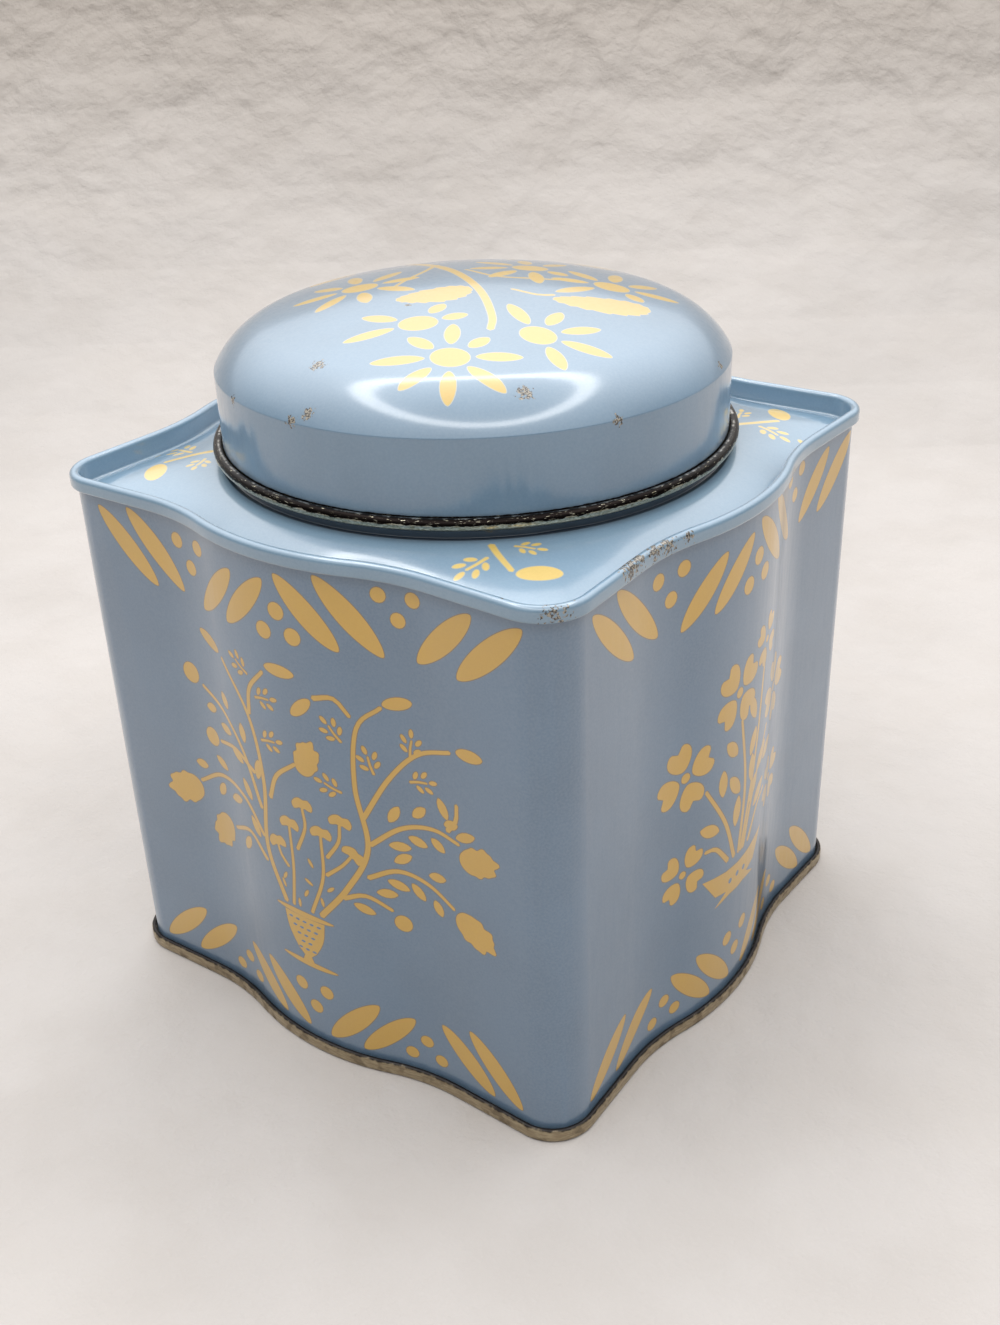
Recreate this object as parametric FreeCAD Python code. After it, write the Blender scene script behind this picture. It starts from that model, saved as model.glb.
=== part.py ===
import FreeCAD, Part
import math
import os

# A square tin with bulging sides, a round neck and a lift-off domed lid.
# Millimetres, +Z up, origin on the base plane under the middle of the tin.

# Tinplate and its folds
sheet = 0.30            # thickness of every sheet
fold_gap = 0.14         # space between the folded layers of a seam
seam_height = 3.1       # height of the double seams at the base and the rim
base_lip_radius = 0.5   # bend at the foot of the base seam, which leaves a flat to stand on

# Plan of the body: each side bulges in the middle and is hollow beside the bulge
half_width = 65.0       # axis to the outside of the wall at the middle of a side
bulge_radius = 57.6
bulge_angle = 18.2      # half of the bulge, in degrees
hollow_radius = 48.6
run_splay = 1.7         # outward lean of the straight run beside a corner, in degrees
corner_radius = 8.3

# Heights of the body
body_height = 118.4     # base plane to the top of the rim
recess_depth = 4.6      # rim down to the shoulder plate beside the wall
plate_rise = 3.7        # how far the plate climbs from the wall to the neck
recess_radius = 0.9     # bend at the foot of the recess wall
panel_depth = 3.6       # base plane up to the underside of the bottom panel
panel_step = 0.8        # raised middle of the bottom panel
panel_corner = 1.2      # corner radius of that raised middle, which the flat border follows
step_radius = 0.6
step_angle = 50.0

# Lock seam of the body strip, on the straight run beside the back corner
lock_width = 5.0
lock_margin = 2.5       # flat sheet on each side of the lock seam
lock_clear = 2.0        # height left plain under the rim's recess and over the bottom panel
jog_radius = 0.5
jog_angle = 60.0

# Neck and lid
lid_radius = 52.0       # outside of the skirt
crease_radius = 0.6     # outside bend of the crease at the top of the skirt
crease_angle = 31.0     # lean of the sheet just over the crease, from upright, in degrees
shoulder_radius = 17.9  # outside bend between the crease and the dome
dome_angle = 15.8       # slope of the dome where it meets the shoulder, in degrees
lid_depth = 30.6        # underside of the lid's curl to the top of the dome
lid_gap = 2.0           # plate to the underside of the lid's curl
lid_curl_radius = 1.15  # outside of the bead at the foot of the skirt
lid_curl_turn = 300.0
lid_clearance = 0.25    # radial play of the lid on the neck
neck_drop = 3.0         # top of the neck below the lid's crease
neck_curl_radius = 0.9
neck_curl_turn = 270.0
land_width = 1.9        # flat ring of the plate round the neck
flange_radius = 0.45
flange_height = 1.4     # plate's upturned edge, over the flat ring
ring_gap = 0.05         # play of the neck in the plate's upturned edge

# Seam layers, counted from inside: end plate, wall, end hook, wall hook, end plate.
# Offsets run outward from the outside of the wall to the middle of each layer.
layer = sheet + fold_gap
wall_offset = -sheet / 2
inner_offset = wall_offset - layer
end_hook_offset = wall_offset + layer
wall_hook_offset = wall_offset + 2 * layer
outer_offset = wall_offset + 3 * layer
wall_turn = 2 * layer + sheet / 2
hook_run = seam_height - 3 * layer - sheet
cover_turn = wall_turn + hook_run

# Levels and radii that follow
plate_low = body_height - recess_depth
plate_high = plate_low + plate_rise
neck_radius = lid_radius - sheet - lid_clearance
flange_middle = neck_radius + ring_gap + sheet / 2
land_radius = flange_middle - sheet / 2 + land_width
lid_skirt = lid_radius - sheet / 2
lid_bend = shoulder_radius - sheet / 2
crease_bend = crease_radius - sheet / 2
dome_slope = math.radians(dome_angle)
crease_lean = math.radians(crease_angle)
dome_radius = (
    lid_skirt
    - lid_bend * (math.cos(crease_lean) - math.sin(dome_slope))
    - crease_bend * (1 - math.cos(crease_lean))
) / math.sin(dome_slope)
lid_top = plate_high + lid_gap + lid_depth
skirt_top = (
    lid_top - sheet / 2
    - dome_radius * (1 - math.cos(dome_slope))
    - lid_bend * (math.cos(dome_slope) - math.sin(crease_lean))
    - crease_bend * math.sin(crease_lean)
)
curl_level = plate_high + lid_gap + lid_curl_radius

UP = FreeCAD.Vector(0, 0, 1)
ORIGIN = FreeCAD.Vector(0, 0, 0)


def walk(start, heading, moves):
    """Follow moves from start: a number is a straight run, a pair is a bend (radius, degrees to the left).

    Gives each step as its start, its heading in degrees, its move and the centre of its bend."""
    x, y = start
    for move in moves:
        if isinstance(move, tuple):
            radius, turn = move
            to_centre = math.radians(heading + math.copysign(90, turn))
            centre = FreeCAD.Vector(x + radius * math.cos(to_centre), y + radius * math.sin(to_centre), 0)
            yield FreeCAD.Vector(x, y, 0), heading, move, centre
            heading += turn
            from_centre = math.radians(heading - math.copysign(90, turn))
            x = centre.x + radius * math.cos(from_centre)
            y = centre.y + radius * math.sin(from_centre)
        elif move > 1e-6:
            yield FreeCAD.Vector(x, y, 0), heading, move, None
            x += move * math.cos(math.radians(heading))
            y += move * math.sin(math.radians(heading))


def step_edge(step, offset):
    """The edge of one step, shifted to the left of its path by offset."""
    start, heading, move, centre = step
    left = math.radians(heading + 90)
    first = start + FreeCAD.Vector(math.cos(left), math.sin(left), 0) * offset
    if centre is None:
        ahead = math.radians(heading)
        last = first + FreeCAD.Vector(math.cos(ahead), math.sin(ahead), 0) * move
        return Part.LineSegment(first, last).toShape()
    arm = first - centre
    middle = centre + FreeCAD.Rotation(UP, move[1] / 2).multVec(arm)
    last = centre + FreeCAD.Rotation(UP, move[1]).multVec(arm)
    return Part.Arc(first, middle, last).toShape()


def bent_sheet(start, heading, moves):
    """Closed outline, in the XY plane, of a sheet whose middle follows the moves."""
    steps = list(walk(start, heading, moves))
    left = [step_edge(step, sheet / 2) for step in steps]
    right = [step_edge(step, -sheet / 2) for step in steps]
    end_cap = Part.LineSegment(left[-1].Vertexes[-1].Point, right[-1].Vertexes[-1].Point).toShape()
    start_cap = Part.LineSegment(right[0].Vertexes[0].Point, left[0].Vertexes[0].Point).toShape()
    return Part.Wire(left + [end_cap] + right[::-1] + [start_cap])


def upright(outline):
    """Stand an XY outline in the XZ plane, as a section with X outward and Z up."""
    section = outline.copy()
    section.rotate(ORIGIN, FreeCAD.Vector(1, 0, 0), 90)
    return section


def turned(outline):
    """Solid of revolution of a section about the axis of the neck."""
    return Part.Face(upright(outline)).revolve(ORIGIN, UP, 360)


def closed_solid(faces):
    """Join faces that meet edge to edge into one solid."""
    sewn = Part.makeCompound(faces)
    sewn.sewShape()
    solid = Part.makeSolid(sewn.Shells[0])
    if solid.Volume < 0:
        solid.reverse()
    return solid


def body_plan():
    """Steps round the outside of the wall, from the middle of the front side and counterclockwise."""
    bulge = (bulge_radius, bulge_angle)
    hollow = (hollow_radius, -bulge_angle - run_splay)
    *_, run_start = walk((0, -half_width), 0, [bulge, hollow, 1.0])
    x, y = run_start[0].x, run_start[0].y
    lean = math.radians(-run_splay)
    # The run ends where the corner's centre comes onto the diagonal between two sides.
    short = -(x + y + corner_radius * (math.cos(lean) - math.sin(lean)))
    run = short / (math.cos(lean) + math.sin(lean))
    corner = (corner_radius, 90 + 2 * run_splay)
    quarter = [bulge, hollow, run, corner, run, hollow, bulge]
    return list(walk((0, -half_width), 0, quarter * 4))


def carried_round_body(outline):
    """Carry a section round the body, with X as the distance outside the wall."""
    section = upright(outline)
    faces = []
    for start, heading, move, centre in body_plan():
        placed = section.copy()
        beside = FreeCAD.Placement(start, FreeCAD.Rotation(UP, heading - 90))
        placed.Placement = beside.multiply(placed.Placement)
        if centre is None:
            ahead = math.radians(heading)
            skin = placed.extrude(FreeCAD.Vector(math.cos(ahead), math.sin(ahead), 0) * move)
        else:
            skin = placed.revolve(centre, UP * math.copysign(1, move[1]), abs(move[1]))
        faces.extend(skin.Faces)
    return closed_solid(faces)


def body_ring(offset, level):
    """Edges round the body at an offset outside the wall and a level."""
    edges = [step_edge(step, -offset) for step in body_plan()]
    for edge in edges:
        edge.translate(UP * level)
    return edges


def neck_ring_edges(radius, level, beside):
    """Arcs of a circle round the neck, split at the bearings of the edges beside it."""
    edges = []
    for edge in beside:
        first = edge.Vertexes[0].Point
        last = edge.Vertexes[-1].Point
        start = math.atan2(first.y, first.x)
        turn = (math.atan2(last.y, last.x) - start) % (2 * math.pi)
        bearings = [start, start + turn / 2, start + turn]
        points = [FreeCAD.Vector(radius * math.cos(b), radius * math.sin(b), level) for b in bearings]
        edges.append(Part.Arc(*points).toShape())
    return edges


def seam_moves(hand, lip_radius):
    """An end plate's folds: up its hook, over the wall's hook, along the outside and round the lip."""
    return [
        hook_run,
        (layer, 180 * hand),
        cover_turn - sheet / 2 - lip_radius,
        (lip_radius, 90 * hand),
        4 * layer - 2 * lip_radius,
        (lip_radius, 90 * hand),
    ]


def joggle(depth, radius, angle):
    """Moves that step a sheet to one side by depth, and the length that they take along it.

    The step is to the right for a positive angle."""
    slope = math.radians(abs(angle))
    run = (depth - 2 * radius * (1 - math.cos(slope))) / math.sin(slope)
    length = 2 * radius * math.sin(slope) + run * math.cos(slope)
    return [(radius, -angle), run, (radius, angle)], length


def make_body_wall():
    """One strip bent round into a tube, hooked outward at both ends and locked to itself at the back."""
    fold = (layer, -180)
    section = bent_sheet(
        (wall_hook_offset, cover_turn), -90,
        [hook_run, fold, body_height - 2 * wall_turn, fold, hook_run],
    )
    wall = carried_round_body(section)
    # The lock seam lies on the straight run before the third corner.
    runs = [step for step in body_plan() if step[3] is None]
    start, heading, run, _ = runs[4]
    ahead = math.radians(heading)
    middle = start + FreeCAD.Vector(math.cos(ahead), math.sin(ahead), 0) * (run / 2)
    low = panel_depth + sheet + panel_step + lock_clear
    high = plate_low - sheet - lock_clear
    place = FreeCAD.Placement(middle + UP * low, FreeCAD.Rotation(UP, heading))
    reach = lock_width / 2 + lock_margin
    window = Part.makeBox(2 * reach, 3 * sheet, high - low, FreeCAD.Vector(-reach, -sheet, 0))
    window.Placement = place
    wall = wall.cut(window)
    # Looking along the run, inward is to the left.
    outer_hook = bent_sheet(
        (-reach, sheet / 2), 0,
        [reach + lock_width / 2 - layer, (layer, 180), lock_width - 3 * layer],
    )
    jog, jog_length = joggle(3 * layer, jog_radius, jog_angle)
    inner_hook = bent_sheet(
        (reach, sheet / 2), 180,
        [lock_margin - jog_length - fold_gap] + jog + [
            lock_width + fold_gap - layer,
            (layer, -180),
            lock_width - 3 * layer,
        ],
    )
    for hook in (outer_hook, inner_hook):
        strip = Part.Face(hook).extrude(UP * (high - low))
        strip.Placement = place
        wall = wall.fuse(strip)
    return wall


def make_bottom_plate():
    """Countersunk bottom with a raised middle, double-seamed to the wall."""
    middle_of_panel = panel_depth + sheet / 2
    step, step_length = joggle(panel_step, step_radius, step_angle)
    foot = inner_offset - recess_radius
    inner = panel_corner - corner_radius
    border_width = foot - inner - step_length - sheet
    section = bent_sheet(
        (end_hook_offset, wall_turn), 90,
        seam_moves(-1, base_lip_radius) + [
            middle_of_panel - recess_radius - sheet / 2 - base_lip_radius,
            (recess_radius, 90),
            border_width,
        ] + step + [sheet],
    )
    border = carried_round_body(section)
    panel = Part.Face(Part.Wire(body_ring(inner, panel_depth + panel_step))).extrude(UP * sheet)
    return border.fuse(panel)


def make_shoulder_plate():
    """Top plate: rolled rim, recess wall, a slope up to the neck hole and its upturned edge."""
    section = bent_sheet(
        (end_hook_offset, body_height - wall_turn), -90,
        seam_moves(1, 2 * layer) + [
            recess_depth - recess_radius - 2 * layer,
            (recess_radius, -90),
        ],
    )
    rim = carried_round_body(section)
    foot = inner_offset - recess_radius
    foot_top = body_ring(foot, plate_low)
    foot_under = body_ring(foot, plate_low - sheet)
    land_top = neck_ring_edges(land_radius, plate_high, foot_top)
    land_under = neck_ring_edges(land_radius, plate_high - sheet, foot_top)
    rings = [foot_top, land_top, land_under, foot_under, foot_top]
    faces = [
        Part.makeRuledSurface(outer, inner)
        for ring, next_ring in zip(rings, rings[1:])
        for outer, inner in zip(ring, next_ring)
    ]
    slope = closed_solid(faces)
    flange = turned(bent_sheet(
        (land_radius, plate_high - sheet / 2), 180,
        [
            land_radius - flange_middle - flange_radius,
            (flange_radius, -90),
            flange_height + sheet / 2 - flange_radius,
        ],
    ))
    return rim.fuse(slope).fuse(flange)


def make_neck_ring():
    """Plain collar held under the plate by its lip, with its mouth curled inward."""
    middle = neck_radius - sheet / 2
    lip = plate_high - 1.5 * sheet
    top = skirt_top - neck_drop
    curl = neck_curl_radius - sheet / 2
    return turned(bent_sheet(
        (land_radius, lip), 180,
        [
            land_radius - middle - flange_radius,
            (flange_radius, -90),
            top - neck_curl_radius - lip - flange_radius,
            (curl, neck_curl_turn),
        ],
    ))


def make_lid():
    """One drawn cap: dome, rounded shoulder, crease, straight skirt and a curl rolled outward."""
    return turned(bent_sheet(
        (0, lid_top - sheet / 2), 0,
        [
            (dome_radius, -dome_angle),
            (lid_bend, dome_angle + crease_angle - 90),
            (crease_bend, -crease_angle),
            skirt_top - curl_level,
            (lid_curl_radius - sheet / 2, lid_curl_turn),
        ],
    ))


parts = {
    "body_wall": make_body_wall(),
    "bottom_plate": make_bottom_plate(),
    "shoulder_plate": make_shoulder_plate(),
    "neck_ring": make_neck_ring(),
    "lid": make_lid(),
}

os.makedirs("parts", exist_ok=True)
for name, shape in parts.items():
    shape.removeSplitter().exportStep("parts/" + name + ".step")
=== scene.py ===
import math

import bmesh
import bpy
import numpy as np
from mathutils import Matrix, Vector
from mathutils.geometry import delaunay_2d_cdt


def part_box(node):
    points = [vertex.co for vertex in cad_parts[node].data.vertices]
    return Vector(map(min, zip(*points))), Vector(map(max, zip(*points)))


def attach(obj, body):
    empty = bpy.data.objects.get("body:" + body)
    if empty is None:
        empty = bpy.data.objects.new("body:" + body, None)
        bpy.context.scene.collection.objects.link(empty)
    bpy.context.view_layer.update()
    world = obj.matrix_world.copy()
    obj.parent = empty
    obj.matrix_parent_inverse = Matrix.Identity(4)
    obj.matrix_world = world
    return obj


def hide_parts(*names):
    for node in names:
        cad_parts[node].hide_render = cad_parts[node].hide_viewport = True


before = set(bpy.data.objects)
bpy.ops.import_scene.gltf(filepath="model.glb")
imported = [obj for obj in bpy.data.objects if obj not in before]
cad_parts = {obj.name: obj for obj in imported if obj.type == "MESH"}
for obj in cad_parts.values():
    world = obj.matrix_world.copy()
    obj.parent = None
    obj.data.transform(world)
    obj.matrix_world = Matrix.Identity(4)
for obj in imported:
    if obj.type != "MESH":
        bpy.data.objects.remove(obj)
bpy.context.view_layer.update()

# ---------------------------------------------------------------------------------- body wall
# One strip of tinplate, printed flat with plants in mustard ink on grey-blue enamel, varnished,
# then bent round the four bulging sides. Both long edges are hooked outward into the seams, and
# the ends are folded together in a lock seam on the back.

MM = 0.001
SHEET = 0.30
LAYER = SHEET + 0.14            # one folded layer of a seam and the gap beside it
SEAM_HEIGHT = 3.1
WALL_TURN = 2 * LAYER + SHEET / 2
HOOK_RUN = SEAM_HEIGHT - 3 * LAYER - SHEET
COVER_TURN = WALL_TURN + HOOK_RUN
WALL = -SHEET / 2               # middle of the wall, measured outward from its outer face
BODY_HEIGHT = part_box("body_wall")[1].z / MM + LAYER
HALF_WIDTH = 65.0
BULGE = (57.6, 18.2)            # radius and turn in degrees of half a bulge
HOLLOW = (48.6, -19.9)          # the same for the hollow beside it
RUN_SPLAY = 1.7                 # degrees by which the straight run leans outward
CORNER_RADIUS = 8.3


def follow(start, heading, moves, slack=0.006):
    """Rows of x, y, heading and distance along a path. A number runs straight, a pair bends left."""
    x, y = start
    heading = math.radians(heading)
    rows = [(x, y, heading, 0.0)]
    for move in moves:
        radius, turn = move if isinstance(move, tuple) else (0.0, 0.0)
        turn = math.radians(turn)
        length = radius * abs(turn) if turn else move
        if length < 1e-6:
            continue
        x, y, heading, gone = rows[-1]
        count = math.ceil(abs(turn) / (2 * math.acos(1 - slack / radius))) if turn else 1
        for share in np.arange(1, count + 1) / count:
            ahead = heading + turn * share
            if turn:
                curve = turn / length
                px = x + (math.sin(ahead) - math.sin(heading)) / curve
                py = y - (math.cos(ahead) - math.cos(heading)) / curve
            else:
                px = x + length * math.cos(heading)
                py = y + length * math.sin(heading)
            rows.append((px, py, ahead, gone + length * share))
    return np.array(rows)


def side_moves():
    """Half a side, from the middle of its bulge to the middle of the corner."""
    x, y, heading, _ = follow((0, -HALF_WIDTH), 0, [BULGE, HOLLOW])[-1]
    short = -(x + y + CORNER_RADIUS * (math.cos(heading) - math.sin(heading)))
    run = short / (math.cos(heading) + math.sin(heading))
    return [BULGE, HOLLOW, run, (CORNER_RADIUS, 45 + RUN_SPLAY)]


half_side = follow((0, -HALF_WIDTH), 0, side_moves())
SIDE = 2 * half_side[-1, 3]
LOCK_AT = half_side[-1, 3] - math.radians(45 + RUN_SPLAY) * CORNER_RADIUS - side_moves()[2] / 2 + 2.6
GROOVE = 0.5                    # half width of the lock seam's groove
GROOVE_DEPTH = 0.26
LOCK_LOW = 6.7                  # the lock seam's inner ridge is full between these heights
LOCK_HIGH = BODY_HEIGHT - 6.9
LOCK_TAPER = 0.4


def plan_at(distance):
    """Place and heading on the outside of the wall, at distances from the middle of the front side."""
    distance = np.asarray(distance, float)
    side = np.round(distance / SIDE)
    local = distance - side * SIDE
    x, y, heading = (np.interp(abs(local), half_side[:, 3], half_side[:, k]) for k in range(3))
    x, heading = x * np.sign(local), heading * np.sign(local)
    quarter = side * math.pi / 2
    return (
        x * np.cos(quarter) - y * np.sin(quarter),
        x * np.sin(quarter) + y * np.cos(quarter),
        heading + quarter,
    )


lock_edges = LOCK_AT + np.array([-5.6, -5.2, -4.9, -GROOVE, -0.2, 0.0, 0.2, GROOVE, 0.9])
side_stops = np.unique(np.round(np.r_[-half_side[:, 3], half_side[:, 3], lock_edges], 6))
body_stops = np.unique(np.concatenate([side_stops[:-1] + k * SIDE for k in range(4)]))


def groove_depth(beyond):
    """Depth of the lock seam's groove at distances from its middle."""
    return np.interp(abs(beyond), [0, 0.2, GROOVE], [GROOVE_DEPTH, GROOVE_DEPTH * 0.8, 0])


def on_body(distance, out, height):
    """Points at distances round the body, lengths outside the wall and heights."""
    x, y, heading = plan_at(distance)
    return np.stack([x + out * np.sin(heading), y - out * np.cos(heading), height + 0 * x], axis=-1)


def sheet_loop(path):
    """Outline of a sheet whose middle follows a path: out along its left face, back along its right."""
    across = np.c_[-np.sin(path[:, 2]), np.cos(path[:, 2])] * SHEET / 2
    return np.vstack([path[:, :2] + across, (path[:, :2] - across)[::-1]])


def grid_faces(rows, columns, wrap_rows, wrap_columns, first=0):
    """Quads over a grid of points numbered row by row."""
    r = np.arange(rows if wrap_rows else rows - 1)[:, None]
    c = np.arange(columns if wrap_columns else columns - 1)[None, :]
    r2, c2 = (r + 1) % rows, (c + 1) % columns
    quads = np.stack([r * columns + c, r2 * columns + c, r2 * columns + c2, r * columns + c2], axis=-1)
    return (quads.reshape(-1, 4) + first).tolist()


def make_piece(name, points, faces, ink=None, facing=None):
    """A welded, closed, smooth piece. ink is a number per face, facing a direction per point or zero."""
    mesh = bpy.data.meshes.new(name)
    mesh.from_pydata((np.asarray(points) * MM).tolist(), [], faces)
    mesh.attributes.new("ink", "FLOAT", "FACE").data.foreach_set(
        "value", np.zeros(len(faces)) if ink is None else np.asarray(ink, float))
    directions = np.zeros((len(points), 3)) if facing is None else np.asarray(facing, float)
    mesh.attributes.new("facing", "FLOAT_VECTOR", "POINT").data.foreach_set("vector", directions.ravel())
    work = bmesh.new()
    work.from_mesh(mesh)
    bmesh.ops.remove_doubles(work, verts=work.verts, dist=3e-7)
    bmesh.ops.dissolve_degenerate(work, edges=work.edges, dist=1e-8)
    bmesh.ops.recalc_face_normals(work, faces=work.faces)
    open_edges = sum(not edge.is_manifold for edge in work.edges)
    work.to_mesh(mesh)
    work.free()
    print(name, "faces", len(mesh.polygons), "open edges", open_edges)
    mesh.shade_smooth()
    mesh.set_sharp_from_angle(angle=math.radians(38))
    corner_points = np.zeros(len(mesh.loops), int)
    mesh.loops.foreach_get("vertex_index", corner_points)
    directions = np.zeros(len(mesh.vertices) * 3)
    mesh.attributes["facing"].data.foreach_get("vector", directions)
    normals = directions.reshape(-1, 3)[corner_points]
    face_of_corner = np.repeat(np.arange(len(mesh.polygons)), [p.loop_total for p in mesh.polygons])
    flat = np.zeros(len(mesh.polygons) * 3)
    mesh.polygons.foreach_get("normal", flat)
    agrees = (normals * flat.reshape(-1, 3)[face_of_corner]).sum(axis=1) > 0.7
    normals[~agrees] = 0
    if facing is not None:
        mesh.normals_split_custom_set(normals.tolist())
    mesh.attributes.remove(mesh.attributes["facing"])
    piece = bpy.data.objects.new(name, mesh)
    bpy.context.scene.collection.objects.link(piece)
    return piece


# The print: every shape is a closed outline in millimetres on the flat sheet.

EDGE_LINE = 0.17                # width of the thin brown line where the two inks overlap
INSIDE = 2.0                    # ink number of faces that were left unprinted


def placed(shape, x, y, angle):
    """Turn a shape by an angle in degrees and set it at a place."""
    a = math.radians(angle)
    turn = np.array([[math.cos(a), math.sin(a)], [-math.sin(a), math.cos(a)]])
    return np.asarray(shape) @ turn + (x, y)


def petal(x, y, length, width, angle, point=0.35, lean=0.0, bow=0.0):
    """A leaf or petal. point sharpens both ends, lean fattens the far end, bow bends it sideways."""
    count = int(np.clip((length + width) * 2.2, 14, 60))
    t = np.linspace(0, 2 * np.pi, count, endpoint=False)
    across = width / 2 * np.sin(t) * np.abs(np.sin(t)) ** point * (1 + lean * np.cos(t))
    return placed(np.c_[length / 2 * np.cos(t), across + bow * np.sin(t) ** 2], x, y, angle)


def dot(x, y, size):
    return petal(x, y, size, size * 0.96, 20, point=0.0)


def curve_through(points, step=1.1):
    """A smooth line through a few points, with its direction at each step."""
    points = np.asarray(points, float)
    ends = np.vstack([2 * points[0] - points[1], points, 2 * points[-1] - points[-2]])
    line = []
    for a, b, c, d in zip(ends, ends[1:], ends[2:], ends[3:]):
        count = max(2, int(np.linalg.norm(c - b) / step))
        for t in np.arange(count) / count:
            line.append(0.5 * (2 * b + (c - a) * t + (2 * a - 5 * b + 4 * c - d) * t ** 2
                               + (3 * b - a - 3 * c + d) * t ** 3))
    line = np.array(line + [points[-1]])
    along = np.gradient(line, axis=0)
    return line, along / np.linalg.norm(along, axis=1)[:, None]


def stem(points, thick, thin):
    """A stroke that tapers from thick to thin, with rounded ends."""
    line, along = curve_through(points)
    across = np.c_[-along[:, 1], along[:, 0]] * np.linspace(thick, thin, len(line))[:, None] / 2
    tip = line[-1] + along[-1] * thin * 0.45
    tail = line[0] - along[0] * thick * 0.35
    return np.vstack([tail, line - across, tip, (line + across)[::-1]])


def heart(x, y, size, angle):
    """A broad petal with a notch at its outer end, pointing along angle."""
    t = np.linspace(0, 2 * np.pi, 30, endpoint=False)
    reach = 0.5 + 0.5 * np.cos(t)
    out = size * (1.04 * reach - 0.30 * np.exp(-(((t + np.pi) % (2 * np.pi) - np.pi) / 0.36) ** 2))
    across = size * 0.56 * np.sin(t) * np.abs(np.sin(t)) ** 0.15 * (0.72 + 0.42 * reach)
    return placed(np.c_[out, across], x, y, angle)


def blossom(x, y, size, angle):
    """A full, frilled flower head, drawn as one shape with its cup toward the stem."""
    t = np.linspace(0, 2 * np.pi, 56, endpoint=False)
    frill = 0.10 * np.cos(7 * t) + 0.07 * np.cos(11 * t + 1.0)
    reach = size * (0.93 + frill * (0.5 + 0.5 * np.cos(t)) + 0.10 * np.cos(2 * t))
    return placed(np.c_[reach * np.cos(t), 0.84 * reach * np.sin(t)], x, y, angle)


def cap(x, y, size, angle):
    """A small domed flower that sits across the end of its stem."""
    shape = [(0.1, -0.3), (-0.1, -0.95), (0.45, -1.12), (1.0, -0.75), (0.92, -0.25), (1.08, 0.2),
             (0.9, 0.7), (0.4, 1.1), (-0.12, 0.9), (0.1, 0.3), (0.0, 0.0)]
    line, _ = curve_through(shape + shape[:1], step=0.3)
    return placed(line[:-1] * size, x, y, angle)


def twig(x, y, angle, size=1.0):
    """A tiny twig with five seeds round its tip."""
    strokes = [stem([(0, 0), (2.0, 0.15), (3.8, 0)], 0.55, 0.4)]
    seeds = ((1.6, 1.5, 55), (3.6, 1.7, 40), (1.9, -1.4, -50), (3.9, -1.5, -35), (5.3, 0.2, 5))
    for along, aside, turn in seeds:
        strokes.append(petal(along, aside, 1.9, 0.95, turn, point=0.1))
    return [placed(stroke * size, x, y, angle) for stroke in strokes]


def branch(points, thick, thin, leaves, leaf=(5.0, 2.1), skip=0.25):
    """A stem with leaves set beside it, left and right by turns."""
    line, along = curve_through(points)
    shapes = [stem(points, thick, thin)]
    for k in range(leaves):
        at = int((skip + (0.97 - skip) * (k + 0.5) / leaves) * (len(line) - 1))
        hand = 1 if k % 2 else -1
        side = np.array([-along[at, 1], along[at, 0]]) * hand
        heading = math.degrees(math.atan2(along[at, 1], along[at, 0])) + hand * 32
        x, y = line[at] + side * (leaf[1] * 1.25 + 0.6)
        shapes.append(petal(x, y, leaf[0] * (1 - 0.06 * k), leaf[1], heading, point=0.45))
    return shapes


def border(low, leaves, dots):
    """A band of slanting leaves and groups of three dots above a height."""
    shapes = []
    for x, up, length, width, lean in leaves:
        shapes.append(petal(x, low + up, length, width, lean, point=0.22))
    for x, up, size, third in dots:
        for dx, dz in ((-3.5, 0), (3.5, 0.3), (0.2, third)):
            shapes.append(dot(x + dx, low + up + dz, size))
    return shapes


def top_border():
    low = BODY_HEIGHT - SEAM_HEIGHT - 17.0
    leaves = [(-43.0, 7.6, 20.0, 4.5, -46), (-35.0, 8.6, 20.0, 4.7, -47), (-15.5, 5.9, 17.2, 4.5, 46),
              (-6.6, 6.6, 17.2, 4.5, 46), (8.8, 8.0, 18.2, 4.8, -46), (17.6, 8.8, 19.2, 4.8, -48),
              (37.2, 8.6, 17.6, 4.6, 46), (46.8, 8.4, 19.6, 4.8, 44)]
    dots = [(-24.7, 12.2, 3.3, -4.8), (1.9, 2.2, 3.7, 4.8), (27.3, 14.0, 3.1, -4.3)]
    return border(low, leaves, dots)


def bottom_border():
    low = SEAM_HEIGHT
    leaves = [(-44.2, 8.0, 18.4, 4.5, 42), (-34.2, 7.8, 18.0, 4.3, 42), (-15.2, 7.4, 16.8, 4.5, -44),
              (-7.8, 8.2, 17.4, 4.6, -46), (10.4, 7.8, 17.6, 4.7, 45), (18.5, 7.0, 16.8, 4.4, 43),
              (37.6, 7.9, 17.6, 4.5, -44), (44.6, 9.0, 18.8, 4.4, -48)]
    dots = [(-23.6, 3.9, 3.0, 4.0), (0.5, 12.9, 3.4, -4.8), (27.0, 3.6, 3.0, 4.2)]
    return border(low, leaves, dots)


def basket(x, low):
    """A footed basket: its shapes, and the gaps of its weave."""
    body = [(-5.4, 13.2), (-4.6, 8.5), (-2.4, 4.4), (-0.9, 3.0), (-1.5, 1.5), (1.5, 1.5), (0.9, 3.0),
            (2.4, 4.4), (4.6, 8.5), (5.4, 13.2)]
    line, _ = curve_through(body, step=0.7)
    shapes = [line + (x, low), petal(x, low + 13.9, 15.5, 1.35, 0, point=0.1),
              petal(x, low + 1.0, 15.0, 1.3, 0, point=0.1)]
    gaps = []
    for row in range(5):
        level = low + 11.9 - row * 1.8
        reach = 4.6 - row * 0.62
        for k in np.arange(-3, 3.01) + 0.5 * (row % 2):
            if abs(k * 1.9) < reach:
                gaps.append(petal(x + k * 1.9, level, 1.35, 0.75, 8, point=0.1))
    return shapes, gaps


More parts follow.
